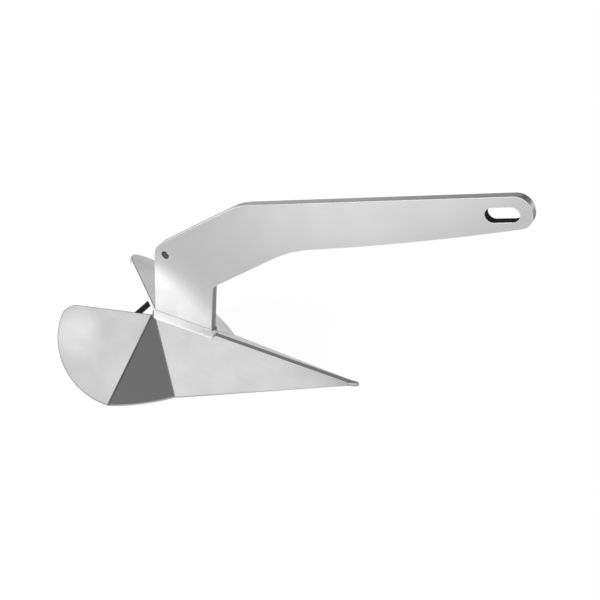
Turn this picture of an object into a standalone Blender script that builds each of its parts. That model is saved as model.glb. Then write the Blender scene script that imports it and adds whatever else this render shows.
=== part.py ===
"""Fixed-shank plough anchor in stainless steel, welded up from cut plate.

The anchor stands on a flat floor on its nose and the two heels of its fluke, with
the shank's head forward. Lengths are in metres. X runs forward to the head, Z is up,
and the plane Y = 0 holds the ridge of the fluke and the middle of the shank.
The sharp point where the ridge line meets the two lower edges is the datum from which
the sizes below are taken. The finished anchor is then set on the floor, centred.
"""

import bpy
import bmesh
from math import asin, atan2, ceil, cos, pi, radians, sin, sqrt, tan
from mathutils import Matrix, Vector

# Clearance between pieces that are welded or laid against each other
FIT_GAP = 0.0003

# Fluke: one folded plate on each side, three flat facets each
FLUKE_PLATE = 0.006
RIDGE_RUN = 0.3425
RIDGE_RISE = 0.0914
HEEL_BACK = 0.2717
HEEL_HALF_WIDTH = 0.0860
WING_ROOT_BACK = 0.3547
WING_ROOT_HALF_WIDTH = 0.1408
WING_ROOT_HEIGHT = 0.0115
HEEL_BOW = 0.0035
WING_FOLD_ANGLE = radians(19.5)
FOLD_RADIUS = 0.010
NOSE_RADIUS = 0.0034
NOSE_SET_BACK = 0.0045
NOSE_BUILD_UP = 0.020
NOSE_EXCESS = 0.020

# Outline of the wing in its own plane, measured along the fold and out from it
WING_ARC_RADIUS = 0.109
WING_ARC_OUT = 0.013
WING_TRAIL_START = 0.0065
WING_TRAIL_ANGLE = radians(19.2)
WING_CORNER_RADIUS = 0.024

# Seam weld along the ridge, dressed flat
RIDGE_WELD_WIDTH = 0.0065
RIDGE_WELD_DEPTH = 0.0030

# Shank: one cranked plate
SHANK_PLATE = 0.012
SHANK_EDGE_ROUND = 0.0012
FOOT_REAR_BACK = 0.3360
FOOT_WIDTH = 0.1013
FOOT_RAKE = radians(70.9)
FOOT_REAR_EDGE = 0.1293
NECK_LENGTH = 0.1822
NECK_SLOPE = radians(22.45)
NECK_DEPTH = 0.0928
NECK_UNDER_SLOPE = radians(24.15)
ARM_LENGTH = 0.4051
ARM_SLOPE = radians(2.84)
HEAD_DEPTH = 0.0405
ARM_UNDER_SLOPE = radians(7.8)
ARM_UNDER_BOW = 0.0032
SHOULDER_RADIUS = 0.034
CREST_RADIUS = 0.100
UNDER_BEND_RADIUS = 0.180
CROTCH_RADIUS = 0.010
HEAD_ROUND_SHARE = 0.98

# Shackle slot in the head and the trip-line hole in the shoulder
SLOT_LENGTH = 0.0427
SLOT_WIDTH = 0.0191
SLOT_END_WALL = 0.0152
SLOT_TOP_WALL = 0.0136
TRIP_HOLE_DIAMETER = 0.0130
TRIP_HOLE_FROM_REAR = 0.0189
TRIP_HOLE_FROM_NECK = 0.0187

# Fillet welds round the foot of the shank
FOOT_WELD_HEIGHT = 0.0085
FOOT_WELD_OUT = 0.0027
FOOT_WELD_BULGE = 0.0008
FOOT_WELD_UNDER = 0.0018
FOOT_WELD_FRONT_OVERRUN = 0.0042
FOOT_WELD_REAR_OVERRUN = 0.0052
FOOT_WELD_END_ROUND = 0.0040
TOE_WELD_LENGTH = 0.0050
TOE_WELD_HALF_WIDTH = 0.0072
TOE_WELD_HEIGHT = 0.0070
TOE_WELD_SUNK = 0.0004
FOOT_SPACE_HEIGHT = 0.030

# Ballast in the nose, its two closing plates and their welds
COVER_PLATE = 0.004
COVER_RECESS = 0.0045
BALLAST_LENGTH = 0.155
INNER_WELD_LEG = 0.004
COVER_WELD_SET_BACK = 0.016
BULKHEAD_WELD_TOP_SPACE = 0.010
ROOT_WELD_LEG = 0.005

# Round bar that ties the two wings together behind the shank
TIE_BAR_DIAMETER = 0.0095
TIE_BAR_BACK = 0.3820
TIE_BAR_HEIGHT = 0.0808
TIE_BAR_WELD_LEG = 0.0045

ARC_STEP = radians(9.0)
FILLET_STEPS = 5
RUN_OUT_START = radians(25.0)
RUN_OUT_STEPS = 4
FOOT_WELD_SUNK = 0.0030
FINE_ARC_STEP = radians(6.0)
SLOT_ARC_STEP = radians(15.0)
ROUND_STEPS = 28
TOE_SEGMENTS = 22
CUT_REACH = 1.2
OVERLAP = 0.004
MERGE = 0.000001

NEAR = -1
FAR = 1


# Scene and collections

for old in list(bpy.data.objects):
    bpy.data.objects.remove(old, do_unlink=True)


def make_collection(name):
    found = bpy.data.collections.get(name)
    if found is None:
        found = bpy.data.collections.new(name)
        bpy.context.scene.collection.children.link(found)
    return found


ANCHOR = make_collection("plough_anchor")
CUTTERS = make_collection("anchor_cutters")


def metal(name, colour, roughness, metallic=1.0):
    material = bpy.data.materials.new(name)
    material.use_nodes = True
    shader = material.node_tree.nodes["Principled BSDF"]
    shader.inputs["Base Color"].default_value = (*colour, 1.0)
    shader.inputs["Roughness"].default_value = roughness
    shader.inputs["Metallic"].default_value = metallic
    material.diffuse_color = (*colour, 1.0)
    return material


def part_object(name, mesh, material):
    made = bpy.data.objects.new(name, mesh)
    ANCHOR.objects.link(made)
    made.data.materials.clear()
    made.data.materials.append(material)
    return made


def cutter_object(name, mesh):
    made = bpy.data.objects.new(name, mesh)
    CUTTERS.objects.link(made)
    made.hide_render = True
    made.display_type = "WIRE"
    return made


def mesh_of(bm, name):
    mesh = bpy.data.meshes.new(name)
    bm.normal_update()
    bm.to_mesh(mesh)
    bm.free()
    return mesh


# Planes, held as a unit normal and a distance from the datum

def plane_through(a, b, c):
    normal = (b - a).cross(c - a).normalized()
    if normal.z < 0:
        normal = -normal
    return normal, normal.dot(a)


def lifted(plane, distance):
    return plane[0], plane[1] + distance


def meet(first, second, third):
    rows = Matrix((first[0], second[0], third[0]))
    return rows.inverted() @ Vector((first[1], second[1], third[1]))


def across(x):
    """Plane square to the X axis."""
    return Vector((1.0, 0.0, 0.0)), x


def level(z):
    """Horizontal plane."""
    return Vector((0.0, 0.0, 1.0)), z


# The fluke's datum points and planes

def on_side(x, y, z, side):
    return Vector((x, side * y, z))


CREST_END = Vector((-RIDGE_RUN, 0.0, RIDGE_RISE))
RIDGE_ANGLE = atan2(RIDGE_RISE, RIDGE_RUN)
RIDGE_AXIS = CREST_END.normalized()
RIDGE_UP = Vector((sin(RIDGE_ANGLE), 0.0, cos(RIDGE_ANGLE)))


def heel(side):
    return on_side(-HEEL_BACK, HEEL_HALF_WIDTH, 0.0, side)


def wing_root(side):
    return on_side(-WING_ROOT_BACK, WING_ROOT_HALF_WIDTH, WING_ROOT_HEIGHT, side)


def blade_plane(side):
    """Front facet, from the ridge down to the lower edge."""
    return plane_through(Vector((0.0, 0.0, 0.0)), CREST_END, heel(side))


def middle_plane(side):
    """Narrow facet between the two folds."""
    return plane_through(CREST_END, heel(side), wing_root(side))


def wing_axes(side):
    """Unit vectors along the wing's fold and out across the wing, and its plane."""
    along = (wing_root(side) - CREST_END).normalized()
    middle = middle_plane(side)[0]
    turned = Matrix.Rotation(side * WING_FOLD_ANGLE, 3, along) @ middle
    out = turned.cross(along)
    if out.x > 0:
        out = -out
    return along, out, (turned, turned.dot(CREST_END))


BLADE_NORMAL = blade_plane(NEAR)[0]
ROOF_SLOPE = abs(BLADE_NORMAL.y) / BLADE_NORMAL.dot(RIDGE_UP)
RIDGE_FLAT = RIDGE_WELD_WIDTH / 2 * ROOF_SLOPE
PLATE_LOW = -FLUKE_PLATE * BLADE_NORMAL.z


# Flat outlines

def arc_points(centre, radius, start, end, step=ARC_STEP):
    count = max(2, ceil(abs(end - start) / step))
    return [(centre[0] + radius * cos(start + (end - start) * i / count),
             centre[1] + radius * sin(start + (end - start) * i / count))
            for i in range(count + 1)]


def line_meet(point_a, angle_a, point_b, angle_b):
    """Where two lines cross, each given by a point and its direction's angle."""
    ax, ay = cos(angle_a), sin(angle_a)
    bx, by = cos(angle_b), sin(angle_b)
    dx, dy = point_b[0] - point_a[0], point_b[1] - point_a[1]
    reach = (dx * by - dy * bx) / (ax * by - ay * bx)
    return point_a[0] + ax * reach, point_a[1] + ay * reach


def moved(point, angle, distance):
    return point[0] + cos(angle) * distance, point[1] + sin(angle) * distance


def rounded_corner(before, corner, after, radius, step=ARC_STEP):
    """Points of the arc that rounds one corner of an outline."""
    if radius <= 0:
        return [corner]
    back = atan2(before[1] - corner[1], before[0] - corner[0])
    ahead = atan2(after[1] - corner[1], after[0] - corner[0])
    turn = (ahead - back + pi) % (2 * pi) - pi
    half = abs(turn) / 2
    middle = back + turn / 2
    centre = moved(corner, middle, radius / sin(half))
    sweep = pi - 2 * half
    facing = middle + pi
    sense = 1 if turn < 0 else -1
    return arc_points(centre, radius, facing - sense * sweep / 2, facing + sense * sweep / 2, step)


def extruded(name, loops, half_thickness, placing):
    """Solid of a flat outline, with any inner loops as holes, as a clean mesh."""
    curve = bpy.data.curves.new(name, "CURVE")
    curve.dimensions = "2D"
    curve.fill_mode = "BOTH"
    curve.extrude = half_thickness
    for loop in loops:
        spline = curve.splines.new("POLY")
        spline.points.add(len(loop) - 1)
        spline.use_cyclic_u = True
        for i, (x, y) in enumerate(loop):
            spline.points[i].co = (x, y, 0.0, 1.0)
    holder = bpy.data.objects.new(name, curve)
    CUTTERS.objects.link(holder)
    mesh = bpy.data.meshes.new_from_object(holder.evaluated_get(bpy.context.evaluated_depsgraph_get()))
    bpy.data.objects.remove(holder, do_unlink=True)
    bpy.data.curves.remove(curve)
    bm = bmesh.new()
    bm.from_mesh(mesh)
    bmesh.ops.remove_doubles(bm, verts=bm.verts, dist=MERGE)
    bmesh.ops.dissolve_limit(bm, angle_limit=radians(0.2), verts=bm.verts, edges=bm.edges,
                             delimit={"NORMAL"})
    bmesh.ops.recalc_face_normals(bm, faces=bm.faces)
    bm.transform(placing)
    bpy.data.meshes.remove(mesh)
    return mesh_of(bm, name)


def hull(name, points):
    """Convex solid over a few corner points."""
    bm = bmesh.new()
    for point in points:
        bm.verts.new(point)
    bmesh.ops.convex_hull(bm, input=bm.verts)
    spare = [v for v in bm.verts if not v.link_faces]
    bmesh.ops.delete(bm, geom=spare, context="VERTS")
    bmesh.ops.dissolve_limit(bm, angle_limit=radians(0.2), verts=bm.verts, edges=bm.edges)
    bmesh.ops.recalc_face_normals(bm, faces=bm.faces)
    return mesh_of(bm, name)


def cut(target, cutter):
    step = target.modifiers.new(cutter.name, "BOOLEAN")
    step.operation = "DIFFERENCE"
    step.solver = "EXACT"
    step.object = cutter


def round_edges(target, width):
    step = target.modifiers.new("rounded_edges", "BEVEL")
    step.width = width
    step.segments = 2
    step.limit_method = "ANGLE"
    step.angle_limit = radians(40.0)
    step.harden_normals = False


def mirrored(name, source, material):
    """The same finished piece on the other side of the anchor's middle plane."""
    graph = bpy.context.evaluated_depsgraph_get()
    mesh = bpy.data.meshes.new_from_object(source.evaluated_get(graph))
    bm = bmesh.new()
    bm.from_mesh(mesh)
    bm.transform(Matrix.Scale(-1.0, 4, Vector((0.0, 1.0, 0.0))))
    bmesh.ops.reverse_faces(bm, faces=bm.faces)
    bpy.data.meshes.remove(mesh)
    return part_object(name, mesh_of(bm, name), material)


def half_space(name, plane):
    """Cutter that takes away all that lies in front of a plane."""
    normal, distance = plane
    bm = bmesh.new()
    bmesh.ops.create_cube(bm, size=1.0)
    bm.transform(Matrix.Diagonal((CUT_REACH, CUT_REACH, CUT_REACH, 1.0)))
    bm.transform(Matrix.Translation((0.0, 0.0, CUT_REACH / 2)))
    facing = normal.to_track_quat("Z", "Y").to_matrix().to_4x4()
    about = CREST_END / 2
    middle = about - normal * (normal.dot(about) - distance)
    bm.transform(Matrix.Translation(middle) @ facing)
    return cutter_object(name, mesh_of(bm, name))


# Planes of the section frame: X across the anchor, Y up from the ridge, Z along it

def ridge_frame(along):
    placing = Matrix.Identity(4)
    placing.col[0].xyz = Vector((0.0, 1.0, 0.0))
    placing.col[1].xyz = RIDGE_UP
    placing.col[2].xyz = -RIDGE_AXIS
    placing.col[3].xyz = RIDGE_AXIS * along
    return placing


def ridge_prism(name, section, start, end):
    """A section drawn across the ridge, run along it from start to end."""
    return extruded(name, [section], (end - start) / 2, ridge_frame((start + end) / 2))


# Folded fluke plates

def wing_outline(side):
    """Rim of the wing from its root on the lower edge round to the trailing edge."""
    along, out, _ = wing_axes(side)
    root = (wing_root(side) - CREST_END).length
    centre = (root - sqrt(WING_ARC_RADIUS ** 2 - WING_ARC_OUT ** 2), WING_ARC_OUT)
    inner = WING_ARC_RADIUS - WING_CORNER_RADIUS
    heading = pi / 2 - WING_TRAIL_ANGLE
    start = (WING_TRAIL_START, 0.0)
    shifted = moved(start, heading - pi / 2, WING_CORNER_RADIUS)
    dx, dy = shifted[0] - centre[0], shifted[1] - centre[1]
    half_b = dx * cos(heading) + dy * sin(heading)
    reach = -half_b + sqrt(half_b ** 2 - (dx ** 2 + dy ** 2 - inner ** 2))
    corner = moved(shifted, heading, reach)
    joint_angle = atan2(corner[1] - centre[1], corner[0] - centre[0])
    rim = arc_points(centre, WING_ARC_RADIUS, -asin(WING_ARC_OUT / WING_ARC_RADIUS), joint_angle,
                     FINE_ARC_STEP)
    rim += arc_points(corner, WING_CORNER_RADIUS, joint_angle, heading + pi / 2)[1:]
    rim.append(start)
    return [CREST_END + along * s + out * v for s, v in rim]


def heel_edge(side, steps=8):
    """Lower edge of the middle facet, bowed a little, between its two ends."""
    a, b = heel(side), wing_root(side)
    outward = (b - a).cross(middle_plane(side)[0]).normalized()
    if outward.z > 0:
        outward = -outward
    return [a.lerp(b, i / steps) + outward * HEEL_BOW * 4 * (i / steps) * (1 - i / steps)
            for i in range(1, steps)]


def fluke_sheet(name, side):
    """Outer skin of one fluke plate: three facets that share the two folds."""
    spill = RIDGE_AXIS.cross(blade_plane(side)[0]).normalized()
    if spill.y * side > 0:
        spill = -spill
    bm = bmesh.new()
    ahead = bm.verts.new(-RIDGE_AXIS * OVERLAP + spill * OVERLAP)
    point = bm.verts.new(heel(side).normalized() * -NOSE_EXCESS)
    heel_vert = bm.verts.new(heel(side))
    crest = bm.verts.new(CREST_END)
    crest_spill = bm.verts.new(CREST_END + spill * OVERLAP)
    edge = [bm.verts.new(p) for p in heel_edge(side)]
    rim = [bm.verts.new(p) for p in wing_outline(side)]
    bm.faces.new([ahead, point, heel_vert, crest, crest_spill])
    bm.faces.new([heel_vert] + edge + [rim[0], rim[-1], crest])
    bm.faces.new(rim)
    bm.verts.index_update()
    bmesh.ops.recalc_face_normals(bm, faces=bm.faces)
    if bm.faces[:][0].normal.z < 0:
        bmesh.ops.reverse_faces(bm, faces=bm.faces)
    ends = [v.index for v in (heel_vert, crest, rim[0], rim[-1])]
    return mesh_of(bm, name), ends


def fold_group(target, ends):
    """Marks the ends of the two folds, for the bend radius."""
    group = target.vertex_groups.new(name="folds")
    group.add(ends, 1.0, "REPLACE")


def round_folds(target):
    step = target.modifiers.new("fold_radius", "BEVEL")
    step.width = FOLD_RADIUS * tan(WING_FOLD_ANGLE / 2)
    step.segments = 3
    step.limit_method = "VGROUP"
    step.vertex_group = "folds"


def thicken(target, thickness, outward):
    """Give the skin its plate thickness, with a part of it outside the skin."""
    step = target.modifiers.new("plate", "SOLIDIFY")
    step.solidify_mode = "NON_MANIFOLD"
    step.nonmanifold_thickness_mode = "CONSTRAINTS"
    step.nonmanifold_merge_threshold = 0.00001
    step.thickness = thickness
    step.offset = 2 * outward / thickness - 1


def make_nose_weld(name, material):
    """Built-up point ahead of the plates, dressed flush with them and rounded off."""
    rear = across(FIT_GAP - NOSE_BUILD_UP)
    corners = []
    for side in (NEAR, FAR):
        blade = blade_plane(side)
        flat_edge = (Vector((0.0, 1.0, 0.0)), side * RIDGE_WELD_WIDTH / 2)
        corners += [meet(blade, rear, flat_edge), meet(blade, rear, level(0.0)),
                    meet(lifted(blade, -FLUKE_PLATE), rear, level(PLATE_LOW))]
    bm = bmesh.new()
    bmesh.ops.create_uvsphere(bm, u_segments=16, v_segments=10, radius=NOSE_RADIUS)
    centre = Vector((-NOSE_SET_BACK - NOSE_RADIUS, 0.0, PLATE_LOW + NOSE_RADIUS))
    corners += [centre + v.co for v in bm.verts]
    bm.free()
    return part_object(name, hull(name, corners), material)


def seam_section(clearance):
    """Section of the ridge weld: flat on top and a V below."""
    half = RIDGE_WELD_WIDTH / 2 + clearance
    return [(-half, -RIDGE_FLAT), (0.0, -RIDGE_FLAT - RIDGE_WELD_DEPTH - clearance),
            (half, -RIDGE_FLAT)]


def groove_section():
    """The groove the ridge weld is laid in, run on up through the sharp ridge."""
    left, bottom, right = seam_section(FIT_GAP)
    return [left, bottom, right, (right[0], OVERLAP), (left[0], OVERLAP)]


# Shank

FOOT_REAR_ALONG = FOOT_REAR_BACK / cos(RIDGE_ANGLE)
SEAT_UP = -RIDGE_FLAT + FIT_GAP
SEAT, SHOULDER, CREST, HEAD_TOP, HEAD_BOTTOM, UNDER_BEND, CROTCH, FOOT_FRONT = range(8)


def side_view(point):
    """X and Z of a point, as the shank's flat outline holds them."""
    return point.x, point.z


def shank_corners():
    """Corners of the shank's outline, and the round at each.

    The two rounds at the head share its end between them, so that it is all but round."""
    seat = side_view(RIDGE_AXIS * FOOT_REAR_ALONG + RIDGE_UP * SEAT_UP)
    seat_angle = -RIDGE_ANGLE
    shoulder = moved(seat, FOOT_RAKE, FOOT_REAR_EDGE)
    crest = moved(shoulder, NECK_SLOPE, NECK_LENGTH)
    head_top = moved(crest, ARM_SLOPE, ARM_LENGTH)
    head_bottom = moved(head_top, ARM_SLOPE - pi / 2, HEAD_DEPTH)
    front_line = moved(seat, FOOT_RAKE - pi / 2, FOOT_WIDTH)
    foot_front = line_meet(seat, seat_angle, front_line, FOOT_RAKE)
    neck_line = moved(shoulder, NECK_SLOPE - pi / 2, NECK_DEPTH)
    under_bend = line_meet(head_bottom, ARM_UNDER_SLOPE, neck_line, NECK_UNDER_SLOPE)
    crotch = line_meet(foot_front, FOOT_RAKE, neck_line, NECK_UNDER_SLOPE)
    corners = [seat, shoulder, crest, head_top, head_bottom, under_bend, crotch, foot_front]
    head_top_round = HEAD_DEPTH / 2 * HEAD_ROUND_SHARE
    head_bottom_round = head_top_round * tan((pi / 2 - ARM_UNDER_SLOPE + ARM_SLOPE) / 2)
    radii = [0.0, SHOULDER_RADIUS, CREST_RADIUS, head_top_round, head_bottom_round,
             UNDER_BEND_RADIUS, CROTCH_RADIUS, 0.0]
    return corners, radii


def bowed(start, end, bow, steps=10):
    """Points between two ends of a long edge that sags a little in the middle."""
    angle = atan2(end[1] - start[1], end[0] - start[0])
    points = []
    for i in range(1, steps):
        share = i / steps
        along = (start[0] + (end[0] - start[0]) * share, start[1] + (end[1] - start[1]) * share)
        points.append(moved(along, angle + pi / 2, bow * 4 * share * (1 - share)))
    return points


def shank_outline():
    corners, radii = shank_corners()
    points = []
    for i, corner in enumerate(corners):
        before = corners[i - 1]
        after = corners[(i + 1) % len(corners)]
        arc = rounded_corner(before, corner, after, radii[i])
        if i == UNDER_BEND:
            points += bowed(points[-1], arc[0], ARM_UNDER_BOW)
        points += arc
    return points


def slot_outline():
    """Long hole for the shackle, parallel to the top of the arm."""
    head_top = shank_corners()[0][HEAD_TOP]
    radius = SLOT_WIDTH / 2
    front = moved(head_top, ARM_SLOPE, -(SLOT_END_WALL + radius))
    front = moved(front, ARM_SLOPE - pi / 2, SLOT_TOP_WALL + radius)
    back = moved(front, ARM_SLOPE, -(SLOT_LENGTH - SLOT_WIDTH))
    outline = arc_points(front, radius, ARM_SLOPE - pi / 2, ARM_SLOPE + pi / 2, SLOT_ARC_STEP)
    outline += arc_points(back, radius, ARM_SLOPE + pi / 2, ARM_SLOPE + 3 * pi / 2, SLOT_ARC_STEP)
    return outline


def trip_hole_centre():
    shoulder = shank_corners()[0][SHOULDER]
    from_rear = moved(shoulder, FOOT_RAKE - pi / 2, TRIP_HOLE_FROM_REAR)
    from_neck = moved(shoulder, NECK_SLOPE - pi / 2, TRIP_HOLE_FROM_NECK)
    return line_meet(from_rear, FOOT_RAKE, from_neck, NECK_SLOPE)


def trip_hole_outline():
    return arc_points(trip_hole_centre(), TRIP_HOLE_DIAMETER / 2, 0.0, 2 * pi, SLOT_ARC_STEP)[:-1]


UPRIGHT = Matrix.Rotation(pi / 2, 4, "X")


def make_shank(material):
    loops = [shank_outline(), slot_outline(), trip_hole_outline()]
    shank = part_object("shank", extruded("shank", loops, SHANK_PLATE / 2, UPRIGHT), material)
    round_edges(shank, SHANK_EDGE_ROUND)
    return shank


def foot_clearance():
    """The foot of the shank with clearance round it, run on down through its seat."""
    corners, _ = shank_corners()
    down = FOOT_RAKE + pi
    rear_low = moved(moved(corners[SEAT], FOOT_RAKE + pi / 2, FIT_GAP), down, OVERLAP)
    front_low = moved(moved(corners[FOOT_FRONT], FOOT_RAKE - pi / 2, FIT_GAP), down, OVERLAP)
    rear_high = moved(rear_low, FOOT_RAKE, FOOT_SPACE_HEIGHT)
    front_high = moved(front_low, FOOT_RAKE, FOOT_SPACE_HEIGHT)
    outline = [rear_low, front_low, front_high, rear_high]
    return cutter_object("foot_clearance",
                         extruded("foot_clearance", [outline], SHANK_PLATE / 2 + FIT_GAP, UPRIGHT))


# Welds round the foot

def roof(y):
    """Height of the fluke's skin, measured square to the ridge, at a distance y from it."""
    return -abs(y) * ROOF_SLOPE


def foot_front_along():
    x, z = shank_corners()[0][FOOT_FRONT]
    return Vector((x, 0.0, z)).dot(RIDGE_AXIS)


def foot_side_section(share):
    """Fillet section beside the foot; share is its size, under one where it runs out.

    It rises against the side of the shank, reaches out over the blade and fills the
    corner under the shank's edge. Its underside is sunk below the blade, to be trimmed."""
    face = SHANK_PLATE / 2 + FIT_GAP
    out = (FOOT_WELD_OUT - FIT_GAP) * share
    under = SEAT_UP - FIT_GAP
    top = under + (FOOT_WELD_HEIGHT - under) * share
    toe = face + out
    inner = SHANK_PLATE / 2 - FOOT_WELD_UNDER
    section = []
    for i in range(FILLET_STEPS + 1):
        part = i / FILLET_STEPS
        y = face + out * part + FOOT_WELD_BULGE * share * 4 * part * (1 - part)
        section.append((y, top + (roof(toe) - top) * part))
    section += [(toe, roof(toe) - FOOT_WELD_SUNK), (inner, roof(inner) - FOOT_WELD_SUNK),
                (inner, under), (face, under)]
    return section


def foot_side_stations():
    """Distances along the ridge and the size of the weld there, with round run-outs."""
    start = foot_front_along() - FOOT_WELD_FRONT_OVERRUN
    end = FOOT_REAR_ALONG + FOOT_WELD_REAR_OVERRUN
    fading = [RUN_OUT_START + (pi / 2 - RUN_OUT_START) * i / RUN_OUT_STEPS
              for i in range(RUN_OUT_STEPS + 1)]
    front = [(start + FOOT_WELD_END_ROUND * (1 - cos(a)), sin(a)) for a in fading]
    rear = [(end - FOOT_WELD_END_ROUND * (1 - cos(a)), sin(a)) for a in reversed(fading)]
    return front + rear


def make_foot_side_weld(name, material, skin):
    """Starboard fillet, lofted through its sections and trimmed to the blade."""
    bm = bmesh.new()
    rings = []
    for along, share in foot_side_stations():
        placing = ridge_frame(along)
        rings.append([bm.verts.new(placing @ Vector((NEAR * y, w, 0.0)))
                      for y, w in foot_side_section(share)])
    count = len(rings[0])
    for before, after in zip(rings, rings[1:]):
        for i in range(count):
            j = (i + 1) % count
            bm.faces.new([before[i], before[j], after[j], after[i]])
    bm.faces.new(rings[0])
    bm.faces.new(rings[-1])
    bmesh.ops.recalc_face_normals(bm, faces=bm.faces)
    weld = part_object(name, mesh_of(bm, name), material)
    cut(weld, skin)
    return weld


def make_toe_weld(name, along, cutters, material):
    """Rounded end run where the foot's edge meets the ridge."""
    bm = bmesh.new()
    bmesh.ops.create_uvsphere(bm, u_segments=TOE_SEGMENTS, v_segments=12, radius=1.0)
    bm.transform(Matrix.Rotation(pi / TOE_SEGMENTS, 4, "Z"))
    bm.transform(Matrix.Diagonal((TOE_WELD_HALF_WIDTH, TOE_WELD_HEIGHT, TOE_WELD_LENGTH, 1.0)))
    bm.transform(Matrix.Translation((0.0, SEAT_UP - TOE_WELD_SUNK, 0.0)))
    bm.transform(ridge_frame(along))
    weld = part_object(name, mesh_of(bm, name), material)
    for cutter in cutters:
        cut(weld, cutter)


# Pieces inside the hollow fluke

def inner_blade(side):
    return lifted(blade_plane(side), -(FLUKE_PLATE + FIT_GAP))


COVER_BOTTOM = PLATE_LOW + COVER_RECESS
COVER_TOP = COVER_BOTTOM + COVER_PLATE


def wedge(name, top_z, bottom_z, rear_x):
    """Solid that fills the fluke's inner corner from a front point back to rear_x."""
    near, far = inner_blade(NEAR), inner_blade(FAR)
    corners = [meet(near, far, level(bottom_z)), meet(near, level(bottom_z), across(rear_x)),
               meet(far, level(bottom_z), across(rear_x))]
    if top_z is None:
        corners.append(meet(near, far, across(rear_x)))
    else:
        corners += [meet(near, far, level(top_z)), meet(near, level(top_z), across(rear_x)),
                    meet(far, level(top_z), across(rear_x))]
    return hull(name, corners)


def cavity_front(z):
    return meet(inner_blade(NEAR), inner_blade(FAR), level(z)).x


BALLAST_REAR = cavity_front(COVER_BOTTOM) - BALLAST_LENGTH


def make_bulkhead(name, material):
    """Upright plate that closes the back of the ballast."""
    near, far = inner_blade(NEAR), inner_blade(FAR)
    front = BALLAST_REAR - FIT_GAP
    corners = []
    for x in (front, front - COVER_PLATE):
        corners += [meet(near, far, across(x)), meet(near, level(COVER_BOTTOM), across(x)),
                    meet(far, level(COVER_BOTTOM), across(x))]
    return part_object(name, hull(name, corners), material)


def corner_bead(name, ends, first, second, leg, material):
    """Triangular fillet in the corner of two planes, between two end planes.

    first and second each give a plane and a point on the free side of the corner."""
    points = []
    for end in ends:
        corner = meet(first[0], second[0], end)
        points.append(corner)
        for own, other in ((first, second), (second, first)):
            run = own[0][0].cross(end[0]).normalized()
            if run.dot(own[1] - corner) < 0:
                run = -run
            points.append(corner + run * leg)
    return part_object(name, hull(name, points), material)


def make_cover_weld(name, side, material):
    """Fillet under the cover plate, along one blade."""
    blade = inner_blade(side)
    under = level(COVER_BOTTOM - FIT_GAP)
    below = Vector((0.0, side * CUT_REACH, -CUT_REACH))
    middle = Vector((0.0, 0.0, COVER_BOTTOM))
    front = across(cavity_front(COVER_BOTTOM - FIT_GAP) - COVER_WELD_SET_BACK)
    rear = across(BALLAST_REAR - COVER_PLATE)
    return corner_bead(name, (front, rear), (blade, below), (under, middle),
                       INNER_WELD_LEG, material)


def make_bulkhead_weld(name, side, material):
    """Fillet behind the bulkhead, along one blade."""
    blade = inner_blade(side)
    back = across(BALLAST_REAR - 2 * FIT_GAP - COVER_PLATE)
    behind = Vector((-CUT_REACH, side * CUT_REACH / 3, 0.0))
    middle = Vector((BALLAST_REAR, 0.0, 0.0))
    top = meet(inner_blade(NEAR), inner_blade(FAR), back).z - BULKHEAD_WELD_TOP_SPACE
    ends = (level(COVER_BOTTOM + INNER_WELD_LEG / 2), level(top))
    return corner_bead(name, ends, (blade, behind), (back, middle), INNER_WELD_LEG, material)


def make_root_weld(name, material):
    """Inside run along the ridge, from the bulkhead back to the trailing edge."""
    near, far = inner_blade(NEAR), inner_blade(FAR)
    front = across(BALLAST_REAR - COVER_PLATE - 2 * FIT_GAP)
    rear = across(-RIDGE_RUN + 2 * FIT_GAP + FLUKE_PLATE)
    return corner_bead(name, (front, rear), (near, Vector((0.0, -CUT_REACH, -CUT_REACH))),
                       (far, Vector((0.0, CUT_REACH, -CUT_REACH))), ROOT_WELD_LEG, material)


# Tie bar between the wings

def inner_wing(side):
    return lifted(wing_axes(side)[2], -(FLUKE_PLATE + FIT_GAP))


BAR_CENTRE = Vector((-TIE_BAR_BACK, 0.0, TIE_BAR_HEIGHT))


def wing_reach(side, offset):
    """How far out along Y a line beside the bar's axis comes to the wing's inner face."""
    normal, distance = inner_wing(side)
    start = BAR_CENTRE + offset
    return (distance - normal.dot(start)) / normal.y


def make_tie_bar(name, material):
    """Bar along Y whose ends are cut to lie flat against the two wings."""
    radius = TIE_BAR_DIAMETER / 2
    bm = bmesh.new()
    ring = [Vector((radius * cos(2 * pi * i / ROUND_STEPS), 0.0, radius * sin(2 * pi * i / ROUND_STEPS)))
            for i in range(ROUND_STEPS)]
    loops = []
    for side in (NEAR, FAR):
        loops.append([bm.verts.new(BAR_CENTRE + p + Vector((0.0, wing_reach(side, p), 0.0)))
                      for p in ring])
    for i in range(ROUND_STEPS):
        j = (i + 1) % ROUND_STEPS
        bm.faces.new([loops[0][i], loops[0][j], loops[1][j], loops[1][i]])
    bm.faces.new(loops[0])
    bm.faces.new(loops[1])
    bmesh.ops.recalc_face_normals(bm, faces=bm.faces)
    return part_object(name, mesh_of(bm, name), material)


def make_bar_weld(name, side, material):
    """Fillet ring round one end of the bar, lying on the wing's inner face."""
    radius = TIE_BAR_DIAMETER / 2 + FIT_GAP
    outer = radius + TIE_BAR_WELD_LEG
    bm = bmesh.new()
    rings = []
    for i in range(ROUND_STEPS):
        angle = 2 * pi * i / ROUND_STEPS
        facing = Vector((cos(angle), 0.0, sin(angle)))
        root = wing_reach(side, facing * radius)
        toe = wing_reach(side, facing * outer)
        collar = root - side * TIE_BAR_WELD_LEG
        rings.append([bm.verts.new(BAR_CENTRE + facing * r + Vector((0.0, y, 0.0)))
                      for r, y in ((radius, root), (outer, toe), (radius, collar))])
    for i in range(ROUND_STEPS):
        j = (i + 1) % ROUND_STEPS
        for k in range(3):
            m = (k + 1) % 3
            bm.faces.new([rings[i][k], rings[i][m], rings[j][m], rings[j][k]])
    bmesh.ops.recalc_face_normals(bm, faces=bm.faces)
    return part_object(name, mesh_of(bm, name), material)


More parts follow.
